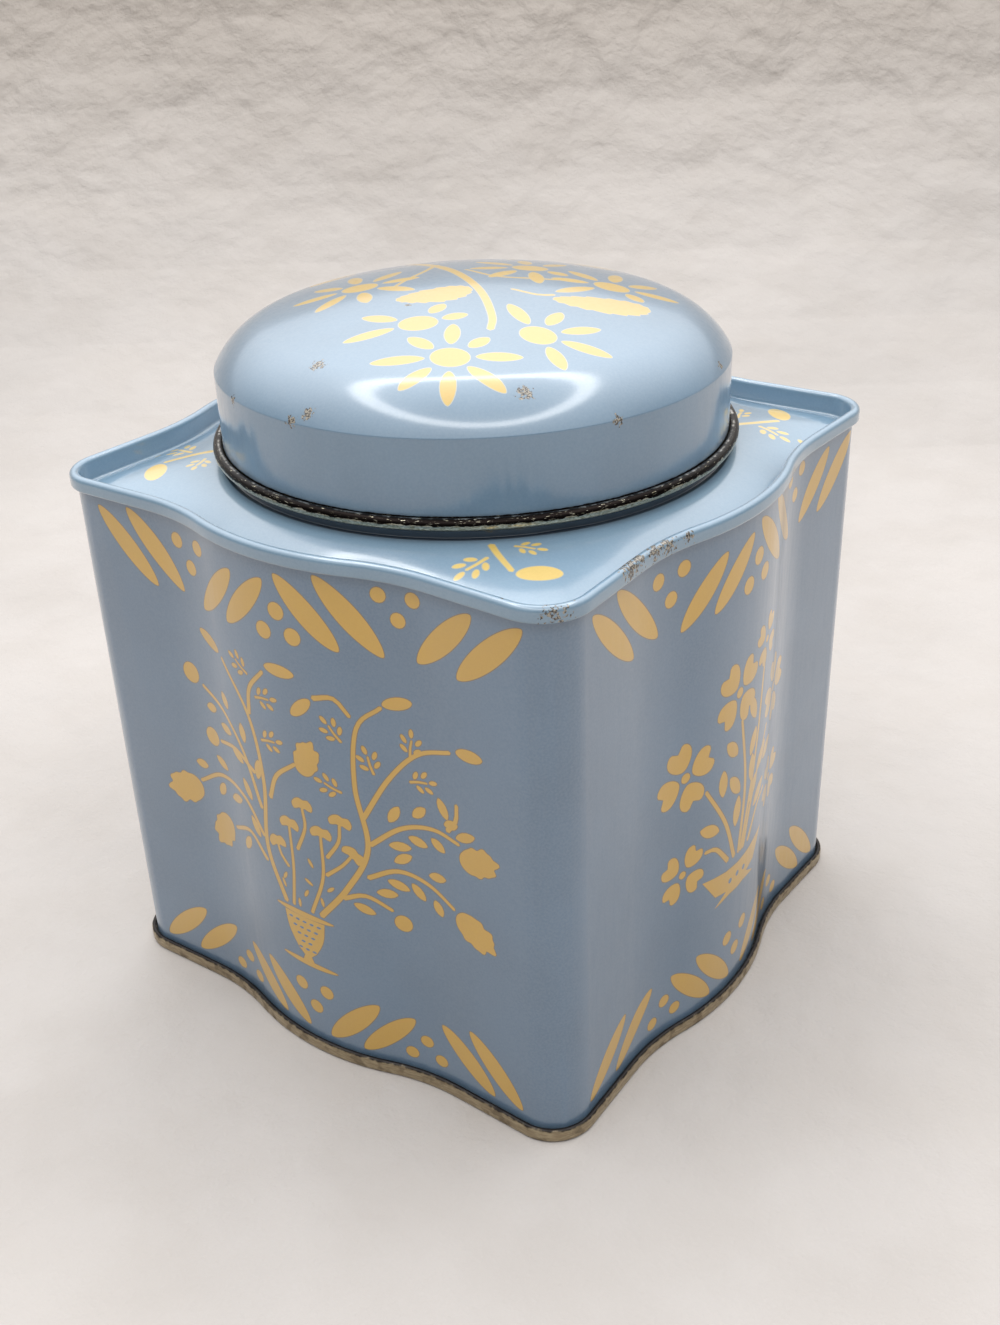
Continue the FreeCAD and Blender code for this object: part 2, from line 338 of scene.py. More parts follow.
def bouquet():
    """A tall spray of stems in a footed basket, for the front and the back."""
    shapes, gaps = basket(0, 21.5)
    for points, leaves in (
        ([(-4.6, 37), (-8.6, 49), (-7.2, 65), (-9.5, 79), (-17, 89)], 0),
        ([(-9.2, 80), (-8, 86), (-3.5, 91)], 0),
        ([(-9.0, 58), (-13, 69), (-19, 75.5), (-26.5, 79)], 6),
        ([(-10, 66), (-16, 68.5), (-22.5, 67.5)], 0),
        ([(-9.4, 51), (-15, 57.5), (-24, 58.5), (-32, 54)], 5),
        ([(-9.4, 45), (-14.5, 49.4), (-21, 47)], 2),
        ([(5, 37), (12, 46), (17.4, 57), (15.8, 71), (17.2, 84), (22.5, 89.3)], 0),
        ([(17, 64), (23, 74), (29.5, 81), (37, 84)], 0),
        ([(18, 58), (25, 63.4), (32, 65.4), (38, 64.4)], 6),
        ([(17, 50), (23.5, 53), (30, 52), (36, 48.5)], 5),
        ([(11, 43.5), (16, 45.3), (21.5, 43)], 2),
        ([(-5.6, 62), (-3, 68), (2.4, 72.5)], 0),
        ([(8.6, 88.8), (13, 89.6), (16, 86.4)], 0),
        ([(35.5, 66.5), (37.6, 69.4), (38, 73)], 2),
    ):
        thick = 1.3 if len(points) > 4 else 1.05
        shapes += branch(points, thick, 0.75, leaves, leaf=(4.9, 2.1))
    for points in (
        [(-2.4, 37), (-1.2, 47), (-1.1, 56.6)], [(2.6, 37), (6.4, 47), (6.9, 57)],
        [(0.6, 52), (3.2, 58), (3.0, 62.4)], [(8.0, 52.5), (11.0, 57), (11.6, 61)],
        [(7.4, 48), (11.4, 51.5), (13.4, 54)], [(-2.6, 46.5), (-4.4, 48.6), (-5.0, 50.6)],
    ):
        shapes.append(stem(points, 0.8, 0.6))
        (x0, y0), (x1, y1) = points[-2:]
        shapes.append(cap(x1, y1, 2.3, math.degrees(math.atan2(y1 - y0, x1 - x0))))
    for x, y, length, angle in ((-21.4, 91.2, 7.0, -22), (1, 92.6, 7.4, 0), (26, 90.9, 6.6, 16),
                                (41.5, 84.8, 6.0, 3), (5.4, 86.0, 6.4, 42)):
        shapes.append(petal(x, y, length, 2.6, angle, point=0.12))
    for x, y, size in ((-30, 80.8, 4.8), (-25.6, 67.3, 4.4), (23.8, 40.4, 4.0)):
        shapes.append(dot(x, y, size))
    for x, y, size, angle in ((-37, 50.6, 5.2, 200), (-26, 44, 4.6, 240), (42.5, 62, 4.4, 20),
                              (41, 45, 4.8, 330), (5.4, 74.6, 4.0, 70)):
        shapes.append(blossom(x, y, size, angle))
    for x, y, angle in ((-8.2, 89, 150), (-6.5, 84.5, 10), (-6.2, 75, 12), (13.8, 80.5, 128),
                        (28, 80, 82), (20, 74.5, 105), (27.6, 74.6, 12), (12.8, 69, 160)):
        shapes += twig(x, y, angle)
    for x, y, angle in ((3.6, 49.6, 118), (-4.6, 41.6, 110), (1.6, 41.4, 60), (2.6, 44.6, 150),
                        (8.0, 44.6, 40), (-0.6, 38.2, 90), (-4.0, 43.6, 60), (5.6, 40.6, 100)):
        shapes.append(petal(x, y, 2.2, 0.75, angle, point=0.1))
    return shapes, gaps


def clover_spray():
    """Four-petalled flowers on curved stems in a boat-shaped bowl, for the other two sides."""
    shapes = []
    gaps = [dot(-3.0, 31.6, 1.5), dot(0.0, 31.8, 1.5), dot(3.0, 31.6, 1.5)]
    bowl = [(-13, 36.4), (-5, 35.0), (0, 34.7), (5, 35.0), (13, 36.4), (8.5, 30.4), (4.5, 29.6),
            (8.6, 27.4), (3, 28.2), (0, 28.0), (-3, 28.2), (-8.6, 27.4), (-4.5, 29.6), (-8.5, 30.4)]
    shapes.append(np.array(bowl))
    flowers = ((-19, 65, 8.6, 20), (-3, 77.6, 8.6, 40), (-19, 41.6, 6.8, 50), (18.6, 68, 8.4, 10),
               (20, 44.4, 6.8, 35), (9.5, 84, 5.6, 60))
    for x, y, size, angle in flowers:
        shapes.append(dot(x, y, size * 0.27))
        for k in range(4):
            turn = angle + 90 * k
            foot_x, foot_y = placed([(1.9, 0)], x, y, turn)[0]
            shapes.append(heart(foot_x, foot_y, size * 0.74, turn))
    for points, leaves in (
        ([(-2, 37.5), (-6, 48), (-13, 59)], 3), ([(0, 37.5), (1.4, 54), (-1.4, 70.5)], 4),
        ([(-4.5, 37.8), (-9, 43), (-12.5, 44)], 0), ([(2, 37.5), (6, 50), (13, 62)], 3),
        ([(4.5, 37.8), (9, 44), (13.5, 46)], 0), ([(1, 37.5), (6.4, 60), (8.6, 78.5)], 2),
    ):
        shapes += branch(points, 1.2, 0.8, leaves, leaf=(7.2, 2.9), skip=0.35)
    return shapes, gaps


def widened(outline, by):
    """The same outline, moved outward all round."""
    run = np.roll(outline, -1, axis=0) - np.roll(outline, 1, axis=0)
    run /= np.maximum(np.linalg.norm(run, axis=1), 1e-9)[:, None]
    return outline + by * np.c_[run[:, 1], -run[:, 0]]


def counterclockwise(outline):
    x, y = np.asarray(outline).T
    area = np.sum(x * np.roll(y, -1) - y * np.roll(x, -1))
    return outline if area > 0 else outline[::-1]


INK_LINE = 0.5
INK_FULL = 1.0


def cut_print(base, lines, shapes, gaps=(), kept=None):
    """Cut a flat sheet along its print. Gives the points, the triangles and the ink on each.

    kept says which middles of triangles lie on the sheet."""
    shapes = [counterclockwise(shape) for shape in shapes]
    gaps = [counterclockwise(gap) for gap in gaps]
    layers = [(widened(shape, EDGE_LINE), INK_LINE) for shape in shapes]
    layers += [(shape, INK_FULL) for shape in shapes]
    layers += [(widened(gap, -EDGE_LINE * 0.4), 0.0) for gap in gaps]
    points = [Vector(p) for p in base]
    outlines = []
    for outline, _ in layers:
        outlines.append(list(range(len(points), len(points) + len(outline))))
        points += [Vector(p) for p in outline]
    found, _, triangles, _, _, owners = delaunay_2d_cdt(points, lines, outlines, 0, 1e-5)
    found = np.array([tuple(p) for p in found])
    triangles = np.array([list(t) for t in triangles])
    inks = np.array([layers[max(owner)][1] if owner else 0.0 for owner in owners])
    middles = found[triangles].mean(axis=1)
    on_sheet = kept(middles[:, 0], middles[:, 1]) if kept else np.ones(len(triangles), bool)
    return found, triangles[on_sheet], inks[on_sheet]


def make_body_wall():
    """The strip: its printed face is cut along the print, and its hooks and inner face are a grid."""
    skin_low, skin_high = WALL_TURN, BODY_HEIGHT - WALL_TURN
    hook = (LAYER, -180)
    path = follow((WALL + 2 * LAYER, COVER_TURN), -90,
                  [HOOK_RUN, hook, skin_high - skin_low, hook, HOOK_RUN])
    loop = sheet_loop(path)
    steps = np.linalg.norm(np.roll(loop, -1, axis=0) - loop, axis=1)
    outer = max(np.flatnonzero(steps > 50), key=lambda k: loop[k, 0])
    loop = np.roll(loop, -outer - 1, axis=0)
    inner = int(np.argmax(np.linalg.norm(np.diff(loop, axis=0), axis=1)))
    levels = (LOCK_LOW - LOCK_TAPER, LOCK_LOW, LOCK_HIGH, LOCK_HIGH + LOCK_TAPER)
    rows = [(-SHEET, z) for z in levels]
    if loop[inner, 1] > loop[inner + 1, 1]:
        rows.reverse()
    loop = np.vstack([loop[:inner + 1], rows, loop[inner + 1:]])
    out = np.broadcast_to(loop[:, 0], (len(body_stops), len(loop))).copy()
    beyond = (body_stops - 2 * SIDE - LOCK_AT) % (4 * SIDE)
    beyond = np.where(beyond > 2 * SIDE, beyond - 4 * SIDE, beyond)
    ridge = np.interp(beyond, [-5.6, -5.2, GROOVE, 0.9], [0, 3 * LAYER, 3 * LAYER, 0])
    inward = loop[:, 0] < -SHEET + 1e-6
    on_ridge = inward & (loop[:, 1] > LOCK_LOW - 0.1) & (loop[:, 1] < LOCK_HIGH + 0.1)
    out[:, on_ridge] -= ridge[:, None]
    out[:, [0, -1]] -= groove_depth(beyond)[:, None]
    back = on_body(body_stops[:, None], out, loop[None, :, 1])
    points = [back.reshape(-1, 3)]
    faces = grid_faces(len(body_stops), len(loop), True, False)
    inks = [np.tile(INSIDE * (inward[:-1] & inward[1:]), len(body_stops))]
    facing = [np.zeros((back.size // 3, 3))]
    base = np.array([(s, z) for s in side_stops for z in (skin_low, skin_high)])
    lines = [(2 * k, 2 * k + 1) for k in range(len(side_stops))]
    lines += [(2 * k + top, 2 * k + 2 + top) for k in range(len(side_stops) - 1) for top in (0, 1)]
    for side in range(4):
        shapes, gaps = clover_spray() if side % 2 else bouquet()
        shapes = shapes + top_border() + bottom_border()
        flat, triangles, ink = cut_print(base, lines, shapes, gaps, lambda x, z: abs(x) < SIDE / 2)
        distance = flat[:, 0] + side * SIDE
        depth = groove_depth(flat[:, 0] - LOCK_AT) * (side == 2)
        first = sum(len(p) for p in points)
        points.append(on_body(distance, -depth, flat[:, 1]))
        faces += (triangles + first).tolist()
        inks.append(ink)
        heading = plan_at(distance)[2]
        direction = np.c_[np.sin(heading), -np.cos(heading), 0 * heading]
        direction[(abs(flat[:, 0] - LOCK_AT) < GROOVE + 0.01) & (side == 2)] = 0
        facing.append(direction)
    return make_piece("body_wall_printed", np.vstack(points), faces,
                      np.concatenate(inks), np.vstack(facing))


def rgb(red, green, blue):
    """A colour in screen numbers, turned into the linear numbers that the shaders take."""
    return [((c / 255 + 0.055) / 1.055) ** 2.4 for c in (red, green, blue)] + [1.0]


class Paint:
    """A material in the making. Places and scales on the piece are counted in millimetres."""

    def __init__(self, name):
        self.material = bpy.data.materials.new(name)
        self.material.use_nodes = True
        self.tree = self.material.node_tree
        self.shader = self.tree.nodes["Principled BSDF"]
        place = self.node("ShaderNodeTexCoord").outputs["Object"]
        self.place = self.vector("SCALE", place, Scale=1 / MM)

    def put(self, socket, value):
        if isinstance(value, bpy.types.NodeSocket):
            self.tree.links.new(value, socket)
        else:
            socket.default_value = value

    def node(self, kind, *values, **named):
        """Add a node and fill its inputs: by order, or by name with a capital letter."""
        node = self.tree.nodes.new(kind)
        for name, value in named.items():
            if name[0].islower():
                setattr(node, name, value)
        for socket, value in zip(node.inputs, values):
            self.put(socket, value)
        for name, value in named.items():
            if name[0].isupper():
                self.put(node.inputs[name], value)
        return node

    def vector(self, operation, *values, **named):
        return self.node("ShaderNodeVectorMath", *values, operation=operation, **named).outputs[0]

    def count(self, operation, *values):
        return self.node("ShaderNodeMath", *values, operation=operation).outputs[0]

    def height(self):
        return self.node("ShaderNodeSeparateXYZ", self.place).outputs[2]

    def uneven_height(self, scale, detail, drop):
        """Height above the foot, made ragged by noise that adds up to drop."""
        return self.count("MULTIPLY_ADD", self.noise(scale, detail), drop, self.height())

    def noise(self, scale, detail=2.0, stretch=(1, 1, 1), shift=(0, 0, 0)):
        place = self.vector("MULTIPLY_ADD", self.place, stretch, shift)
        return self.node("ShaderNodeTexNoise", Vector=place, Scale=scale, Detail=detail).outputs[0]

    def step(self, value, low, high):
        """Zero below low, one above high, smooth between. low may be the greater."""
        return self.node("ShaderNodeMapRange", value, low, high, 0.0, 1.0,
                         interpolation_type="SMOOTHSTEP").outputs[0]

    def mix(self, share, first, second):
        node = self.node("ShaderNodeMix", data_type="RGBA")
        for place, value in ((0, share), (6, first), (7, second)):
            self.put(node.inputs[place], value)
        return node.outputs[2]

    def blend(self, share, first, second):
        node = self.node("ShaderNodeMix")
        for place, value in ((0, share), (2, first), (3, second)):
            self.put(node.inputs[place], value)
        return node.outputs[0]

    def specks(self, scale, share, size):
        """Sparse round specks: scale per millimetre, share of cells that hold one, size in cells."""
        cells = self.node("ShaderNodeTexVoronoi", Vector=self.place, Scale=scale)
        chosen = self.step(self.node("ShaderNodeSeparateColor", cells.outputs["Color"]).outputs[0],
                           1 - share, 1 - share + 0.001)
        return self.count("MULTIPLY", chosen, self.step(cells.outputs["Distance"], size, size * 0.7))

    def patches(self, places, ragged=0.5):
        """Ragged patches round named places, each a point and a radius."""
        mask = 0.0
        rough = self.noise(1.6, 4.0)
        for point, radius in places:
            apart = self.node("ShaderNodeVectorMath", self.place, tuple(point),
                              operation="DISTANCE").outputs[1]
            reach = self.count("ADD", self.count("DIVIDE", apart, radius),
                               self.count("MULTIPLY", self.count("SUBTRACT", rough, 0.5), ragged * 6))
            mask = self.count("MAXIMUM", self.step(reach, 1.0, 0.8), mask)
        return mask

    def bump(self, height, depth, normal=None):
        """Relief from a height of zero to one and its depth in millimetres."""
        node = self.node("ShaderNodeBump", Height=height, Distance=depth * MM, Strength=1.0)
        if normal is not None:
            self.put(node.inputs["Normal"], normal)
        return node.outputs[0]

    def finish(self, piece, colour, roughness, normal=None, metal=0.0, coat=0.0, coat_roughness=0.1):
        for name, value in (("Base Color", colour), ("Roughness", roughness), ("Metallic", metal),
                            ("Coat Weight", coat), ("Coat Roughness", coat_roughness),
                            ("Coat IOR", 1.7)):
            self.put(self.shader.inputs[name], value)
        if normal is not None:
            self.put(self.shader.inputs["Normal"], normal)
        piece.data.materials.append(self.material)


def printed_enamel(paint, blue, yellow, line, bare):
    """Blue enamel with yellow print, worn where bare is one: its colour, roughness, relief and metal."""
    ink = paint.node("ShaderNodeAttribute", attribute_name="ink").outputs["Fac"]
    cloud = paint.step(paint.noise(0.045, 3.0), 0.3, 0.7)
    fine = paint.step(paint.noise(2.2, 3.0), 0.25, 0.75)
    blue = paint.mix(cloud, [c * 0.95 for c in blue[:3]] + [1], [c * 1.05 for c in blue[:3]] + [1])
    blue = paint.mix(paint.count("MULTIPLY", fine, 0.05), blue, rgb(205, 215, 222))
    yellow = paint.mix(cloud, yellow, [c * 0.94 for c in yellow[:3]] + [1])
    yellow = paint.mix(paint.count("MULTIPLY", fine, 0.10), yellow, rgb(176, 128, 52))
    colour = paint.mix(paint.step(ink, 0.2, 0.21), blue, line)
    colour = paint.mix(paint.step(ink, 0.7, 0.71), colour, yellow)
    marks = paint.specks(0.055, 0.22, 0.016)
    colour = paint.mix(marks, colour, rgb(60, 62, 66))
    rust = paint.mix(paint.step(paint.noise(3.0, 3.0), 0.42, 0.6), rgb(30, 26, 24), rgb(158, 150, 134))
    colour = paint.mix(bare, colour, rust)
    scuffs = paint.noise(0.9, 4.0, stretch=(1, 1, 0.12))
    roughness = paint.blend(paint.step(scuffs, 0.35, 0.75), 0.28, 0.36)
    roughness = paint.blend(bare, roughness, 0.62)
    peel = paint.bump(paint.noise(0.8, 2.0), 0.006)
    relief = paint.bump(paint.step(ink, 0.3, 0.8), 0.004, peel)
    relief = paint.bump(bare, -0.05, relief)
    inside = paint.step(ink, 1.4, 1.6)
    tin = paint.mix(paint.step(paint.noise(0.15, 5.0), 0.35, 0.65),
                    rgb(170, 166, 156), rgb(198, 196, 190))
    colour = paint.mix(inside, colour, tin)
    return colour, roughness, relief, paint.count("MULTIPLY", inside, 0.9)


body_wall = make_body_wall()
paint = Paint("wall enamel")
worn = paint.patches([((55.4, -61.0, 113.0), 0.5), ((-60, -57, 60), 0.4)])
colour, roughness, relief, metallic = printed_enamel(
    paint, rgb(95, 120, 144), rgb(208, 164, 62), rgb(130, 110, 84), worn)
paint.finish(body_wall, colour, roughness, relief, metal=metallic, coat=0.9, coat_roughness=0.11)
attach(body_wall, "tin")
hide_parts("body_wall")

# ------------------------------------------------------------------------------- bottom plate
# Countersunk bottom with a raised middle, pressed from tinplate that has gold lacquer on both
# faces. Its edge is rolled over the wall's hook into the double seam that the tin stands on.

INNER = WALL - LAYER            # middle of an end plate where it lines the wall
RECESS_RADIUS = 0.9
LIP_RADIUS = 0.5
PANEL_INSET = 7.1               # wall to the edge of the raised middle
PANEL_LOW = 3.6                 # underside of the panel next to the wall
PANEL_STEP = (0.8, 0.6, 50)     # height of the step to the raised middle, its radius and angle


def seam_moves(hand, lip):
    """An end plate's folds, from the end of its hook to the inside of the wall."""
    return [HOOK_RUN, (LAYER, 180 * hand), COVER_TURN - SHEET / 2 - lip, (lip, 90 * hand),
            4 * LAYER - 2 * lip, (lip, 90 * hand)]


def joggle(depth, radius, angle):
    """Moves that step a sheet to the right by depth, and the length that they take."""
    slope = math.radians(angle)
    run = (depth - 2 * radius * (1 - math.cos(slope))) / math.sin(slope)
    return [(radius, -angle), run, (radius, angle)], 2 * radius * math.sin(slope) + run * math.cos(slope)


def make_bottom_plate():
    """The section is carried round the body, then closed over the middle with shrinking rings."""
    middle = PANEL_LOW + SHEET / 2
    step, step_length = joggle(*PANEL_STEP)
    foot = INNER - RECESS_RADIUS
    path = follow((WALL + LAYER, WALL_TURN), 90, seam_moves(-1, LIP_RADIUS) + [
        middle - RECESS_RADIUS - SHEET / 2 - LIP_RADIUS, (RECESS_RADIUS, 90),
        foot + PANEL_INSET - step_length - SHEET] + step + [SHEET])
    half = len(path)
    loop = sheet_loop(path)
    strip = np.vstack([loop[half:], loop[:half]])
    border = on_body(body_stops[:, None], strip[None, :, 0], strip[None, :, 1])
    shares = np.array([0.97, 0.85, 0.68, 0.5, 0.33, 0.16, 0.0])
    first = border[:, :1] * np.c_[shares, shares, shares * 0 + 1][None]
    last = border[:, -1:] * np.c_[shares, shares, shares * 0 + 1][None]
    points = np.concatenate([first[:, ::-1], border, last], axis=1)
    faces = grid_faces(len(body_stops), points.shape[1], True, False)
    outside = np.pad(strip[:, 0] > 0.05, len(shares))
    seam = np.tile((outside[:-1] & outside[1:]).astype(float), len(body_stops))
    return make_piece("bottom_plate_lacquered", points.reshape(-1, 3), faces, seam)


bottom_plate = make_bottom_plate()
paint = Paint("gold lacquer")
streaks = paint.noise(0.5, 4.0, stretch=(1, 1, 6))
colour = paint.mix(paint.step(streaks, 0.35, 0.7), rgb(146, 130, 104), rgb(176, 161, 132))
grime = paint.step(paint.noise(0.35, 5.0), 0.52, 0.66)
colour = paint.mix(paint.count("MULTIPLY", grime, 0.55), colour, rgb(94, 80, 62))
rim_line = paint.step(paint.uneven_height(0.7, 3.0, 0.8), 3.02, 3.38)
seam = paint.node("ShaderNodeAttribute", attribute_name="ink").outputs["Fac"]
colour = paint.mix(paint.count("MULTIPLY", rim_line, seam), colour, rgb(34, 29, 27))
# The seam is painted darker along its foot where it meets the floor: painted contact shadow.
painted_foot_shade = paint.step(paint.uneven_height(0.5, 3.0, 0.7), 0.72, 0.5)
painted_foot_shade = paint.count("MULTIPLY", painted_foot_shade, seam)
colour = paint.mix(paint.count("MULTIPLY", painted_foot_shade, 0.7), colour, rgb(58, 44, 34))
roughness = paint.blend(grime, 0.34, 0.55)
relief = paint.bump(paint.noise(1.2, 3.0), 0.012)
paint.finish(bottom_plate, colour, roughness, relief, metal=0.55)
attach(bottom_plate, "tin")
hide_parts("bottom_plate")

# ----------------------------------------------------------------------------- shoulder plate
# Drawn top plate in blue enamel with a printed sprig in each corner, its colours painted paler than the
# wall's as painted light from above. Its edge is rolled with the wall into the rim, and its middle
# climbs to a flat ring and an upturned edge.

RECESS_DEPTH = 4.6
PLATE_LOW = BODY_HEIGHT - RECESS_DEPTH
PLATE_HIGH = PLATE_LOW + 3.7
LID_RADIUS = 52.0
NECK_MIDDLE = LID_RADIUS - 1.5 * SHEET - 0.25
FLANGE_MIDDLE = NECK_MIDDLE + SHEET + 0.05
FLANGE_RADIUS = 0.45
FLANGE_HEIGHT = 1.4
LAND_RADIUS = FLANGE_MIDDLE - SHEET / 2 + 1.9


def turned_strip(strip, bearings):
    """Points of a strip of radius and height, turned about the axis to each bearing."""
    x = np.cos(bearings)[:, None] * strip[None, :, 0]
    y = np.sin(bearings)[:, None] * strip[None, :, 0]
    return np.stack([x, y, np.broadcast_to(strip[None, :, 1], x.shape)], axis=-1)


def sprig(turn):
    """A small sprig in a corner: a curved stalk, a bud across its end, and two seeded twigs."""
    shapes = [stem([(54.6, -5.6), (58.5, -5.0), (64.2, -3.6)], 1.15, 0.9),
              petal(66.0, 0.9, 8.0, 4.4, 84, point=0.08)]
    shapes += twig(59.0, -7.0, -58, 1.25) + twig(56.0, -1.6, 62, 0.95)
    shapes.append(petal(66.4, -12.6, 1.9, 1.2, -60, point=0.1))
    return [placed(shape, 0, 0, turn) for shape in shapes]


def swollen(share):
    """Height of the slope, from 0 at its foot to 1 at the flat ring, for a share of the way up."""
    return 1 - (1 - share) ** 1.8


def make_shoulder_plate():
    """The rim is carried round the body, the slope is cut along its print, the edge is turned."""
    path = follow((WALL + LAYER, BODY_HEIGHT - WALL_TURN), -90, seam_moves(1, 2 * LAYER) + [
        RECESS_DEPTH - RECESS_RADIUS - 2 * LAYER, (RECESS_RADIUS, -90)])
    loop = sheet_loop(path)
    strip = np.vstack([loop[len(path):], loop[:len(path)]])
    if strip[0, 1] < strip[-1, 1]:
        strip = strip[::-1]
    rim = on_body(body_stops[:, None], strip[None, :, 0], strip[None, :, 1])
    top_foot, under_foot = rim[:, 0], rim[:, -1]
    bearings = np.arctan2(top_foot[:, 1], top_foot[:, 0])
    path = follow((LAND_RADIUS, PLATE_HIGH - SHEET / 2), 180, [
        LAND_RADIUS - FLANGE_MIDDLE - FLANGE_RADIUS, (FLANGE_RADIUS, -90),
        FLANGE_HEIGHT + SHEET / 2 - FLANGE_RADIUS])
    edge = turned_strip(sheet_loop(path), bearings)
    if edge[0, 0, 2] < edge[0, -1, 2]:
        edge = edge[:, ::-1]
    top_land, under_land = edge[:, 0], edge[:, -1]
    shares = np.linspace(0, 1, 9)[None, :, None]
    under = under_foot[:, None] * (1 - shares) + under_land[:, None] * shares
    under[..., 2] += (PLATE_HIGH - PLATE_LOW) * (swollen(shares) - shares)[..., 0]
    count = len(body_stops)
    points, faces = [], []
    for part in (rim, edge, under):
        faces += grid_faces(count, part.shape[1], True, False, first=sum(len(p) for p in points))
        points.append(part.reshape(-1, 3))
    inks = [np.zeros(len(faces))]
    inks[0][-count * (under.shape[1] - 1):] = INSIDE
    facing = [np.zeros((sum(len(p) for p in points), 3))]

    order = np.argsort(bearings)
    foot_reach = np.hypot(top_foot[order, 0], top_foot[order, 1])
    swell = [0.0, 0.02, 0.06, 0.14, 0.3, 0.5, 0.7, 0.86, 0.95, 1.0]

    def level(x, y):
        reach = np.interp(np.arctan2(y, x), bearings[order], foot_reach, period=2 * math.pi)
        share = (reach - np.hypot(x, y)) / (reach - LAND_RADIUS)
        share = np.where(share < 0.003, 0, np.minimum(share, 1))
        return PLATE_LOW + (PLATE_HIGH - PLATE_LOW) * swollen(share)

    rings = [top_foot[:, :2] * (1 - t) + top_land[:, :2] * t for t in swell]
    base = np.vstack(rings)
    lines = []
    for k in range(len(rings)):
        lines += [(k * count + j, k * count + (j + 1) % count) for j in range(count)]
    for k in range(len(rings) - 1):
        lines += [(k * count + j, (k + 1) * count + j) for j in range(count)]
    shapes = [shape for turn in (-45, 45, 135, 225) for shape in sprig(turn)]
    turns = bearings[order]
    turns = np.r_[turns[-1] - 2 * math.pi, turns, turns[0] + 2 * math.pi]

    def on_slope(x, y):
        """True between the foot and the straight edges that join the points of the flat ring."""
        bearing = np.arctan2(y, x)
        after = np.clip(np.searchsorted(turns, bearing), 1, len(turns) - 1)
        middle, half = (turns[after] + turns[after - 1]) / 2, (turns[after] - turns[after - 1]) / 2
        inner = LAND_RADIUS * np.cos(half) / np.cos(bearing - middle)
        reach = np.interp(bearing, bearings[order], foot_reach, period=2 * math.pi)
        return (np.hypot(x, y) > inner) & (np.hypot(x, y) < reach + 0.01)

    flat, triangles, ink = cut_print(base, lines, shapes, (), on_slope)
    height = level(flat[:, 0], flat[:, 1])
    step = 0.02
    slope_x = (level(flat[:, 0] + step, flat[:, 1]) - level(flat[:, 0] - step, flat[:, 1])) / (2 * step)
    slope_y = (level(flat[:, 0], flat[:, 1] + step) - level(flat[:, 0], flat[:, 1] - step)) / (2 * step)
    share = (height - PLATE_LOW) / (PLATE_HIGH - PLATE_LOW)
    direction = np.c_[-slope_x, -slope_y, np.ones(len(flat))]
    direction /= np.linalg.norm(direction, axis=1)[:, None]
    direction[(share < 0.01) | (share > 0.99)] = 0
    faces += (triangles + sum(len(p) for p in points)).tolist()
    points.append(np.c_[flat, height])
    inks.append(ink)
    facing.append(direction)
    return make_piece("shoulder_plate_printed", np.vstack(points), faces,
                      np.concatenate(inks), np.vstack(facing))


shoulder_plate = make_shoulder_plate()
paint = Paint("plate enamel")
chips = paint.patches([
    ((60.8, -59.6, 117.2), 2.6), ((61.6, -58.4, 116.0), 1.8), ((59.4, -60.6, 118.2), 1.4),
    ((60.6, -38.6, 117.8), 2.1), ((60.2, -35.4, 118.2), 1.5), ((61.0, -30.6, 117.9), 1.6),
    ((61.9, -26.8, 118.0), 1.8), ((63.2, -21.6, 118.0), 1.3), ((49.6, -59.6, 118.0), 0.7),
    ((-58.6, 61.0, 117.8), 1.2), ((-62.5, 30.0, 118.0), 1.0), ((61.2, 60.6, 117.6), 1.4)], ragged=0.8)
# The plate's blue, yellow and line colours are painted paler than the wall's: painted light from above.
colour, roughness, relief, metallic = printed_enamel(
    paint, rgb(119, 147, 168), rgb(222, 192, 108), rgb(176, 172, 150), chips)
# Inside the lid's curl the plate's enamel is painted dark navy: painted shade of the gap under the curl.
from_axis = paint.node("ShaderNodeVectorMath", paint.vector("MULTIPLY", paint.place, (1, 1, 0)),
                       operation="LENGTH").outputs[1]
colour = paint.mix(paint.step(from_axis, 52.9, 52.5), colour, rgb(44, 62, 80))
paint.finish(shoulder_plate, colour, roughness, relief, metal=metallic, coat=1.0, coat_roughness=0.13)
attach(shoulder_plate, "tin")
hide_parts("shoulder_plate")

# ---------------------------------------------------------------------------------- neck ring
# Plain collar rolled from bare tinplate, clamped under the plate by its lip and curled inward
# at the mouth so that no cut edge shows. The lid slides on its outside.

LID_LOW = PLATE_HIGH + 2.0
LID_TOP = LID_LOW + 30.6
LID_SKIRT = LID_RADIUS - SHEET / 2
LID_BEND = 17.9 - SHEET / 2
CREASE_BEND = 0.6 - SHEET / 2
DOME_ANGLE, CREASE_ANGLE = 15.8, 31.0
DOME_SLOPE, CREASE_LEAN = math.radians(DOME_ANGLE), math.radians(CREASE_ANGLE)
DOME_RADIUS = (LID_SKIRT - LID_BEND * (math.cos(CREASE_LEAN) - math.sin(DOME_SLOPE))
               - CREASE_BEND * (1 - math.cos(CREASE_LEAN))) / math.sin(DOME_SLOPE)
SKIRT_TOP = (LID_TOP - SHEET / 2 - DOME_RADIUS * (1 - math.cos(DOME_SLOPE))
             - LID_BEND * (math.cos(DOME_SLOPE) - math.sin(CREASE_LEAN))
             - CREASE_BEND * math.sin(CREASE_LEAN))
BEAD_RADIUS = 1.15
CURL_LEVEL = LID_LOW + BEAD_RADIUS
NECK_CURL = 0.9
NECK_DROP = 3.0                 # top of the neck's curl below the top of the lid's skirt
ROUND = np.linspace(-math.pi, math.pi, 320, endpoint=False)


def make_neck_ring():
    lip = PLATE_HIGH - 1.5 * SHEET
    path = follow((LAND_RADIUS, lip), 180, [
        LAND_RADIUS - NECK_MIDDLE - FLANGE_RADIUS, (FLANGE_RADIUS, -90),
        SKIRT_TOP - NECK_DROP - NECK_CURL - lip - FLANGE_RADIUS, (NECK_CURL - SHEET / 2, 270)])
    strip = sheet_loop(path)
    points = turned_strip(strip, ROUND).reshape(-1, 3)
    return make_piece("neck_ring_bare", points, grid_faces(len(ROUND), len(strip), True, True))


